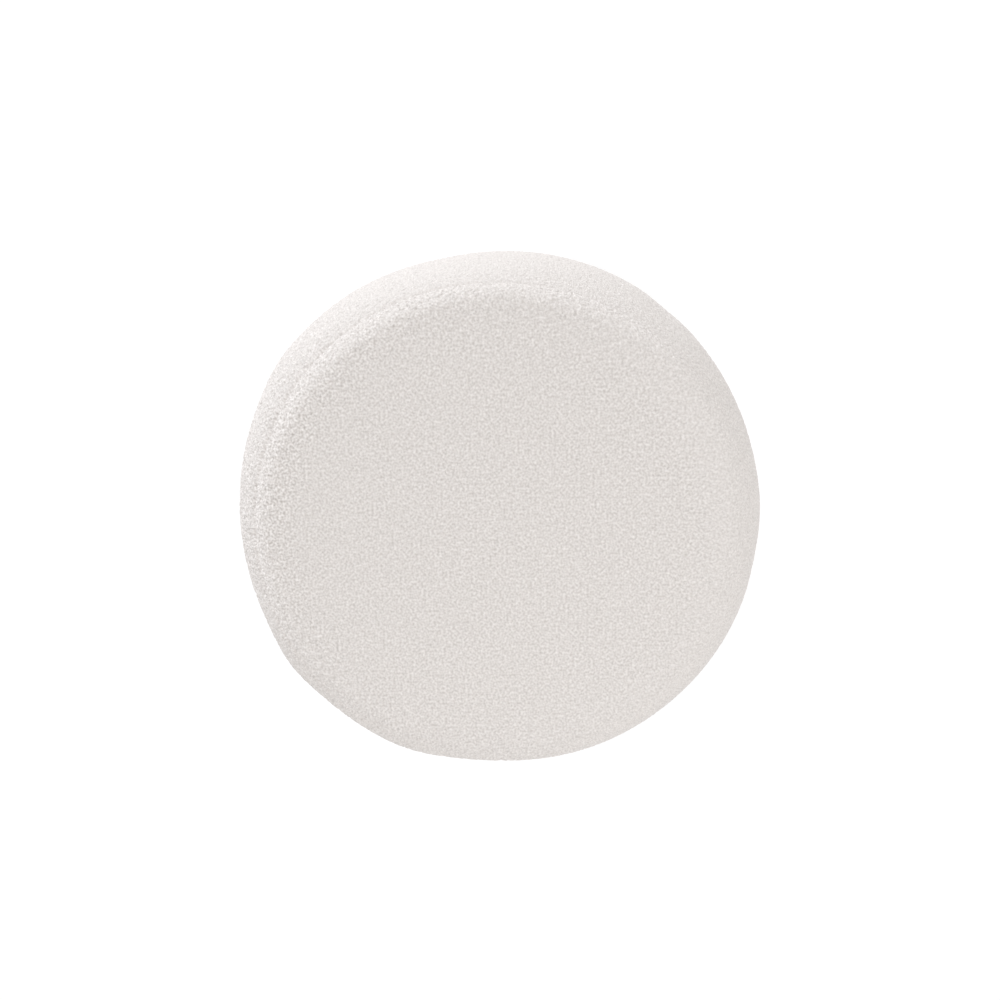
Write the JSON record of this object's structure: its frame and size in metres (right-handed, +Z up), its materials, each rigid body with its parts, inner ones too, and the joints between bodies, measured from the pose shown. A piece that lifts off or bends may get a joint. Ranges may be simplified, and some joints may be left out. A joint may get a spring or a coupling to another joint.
{
  "type": "round storage ottoman with lift-off lid",
  "caption": "Round storage ottoman in cream looped pile cloth: a hollow padded drum with a loose, deeply padded lid that lifts off.",
  "frame": {"origin": "on the floor, under the middle of the drum", "axes": "+Z up along the drum's axis, through the crown of the lid; the ottoman is round, so +X and +Y are free"},
  "size_m": [0.3991, 0.3954, 0.4],
  "materials": {
    "looped_cloth": "matte cream white, short looped pile",
    "plain_board": "plain fibreboard, matte"
  },
  "bodies": {
    "drum": {"body_wall": "looped_cloth", "body_base": "plain_board"},
    "lid": {"lid_top_panel": "looped_cloth", "lid_side_band": "looped_cloth", "lid_board": "plain_board"}
  },
  "joints": [
    {"name": "lid_lift", "type": "slide", "parent": "drum", "child": "lid", "axis": [0, 0, 1], "range_m": [0, 0.3]}
  ]
}
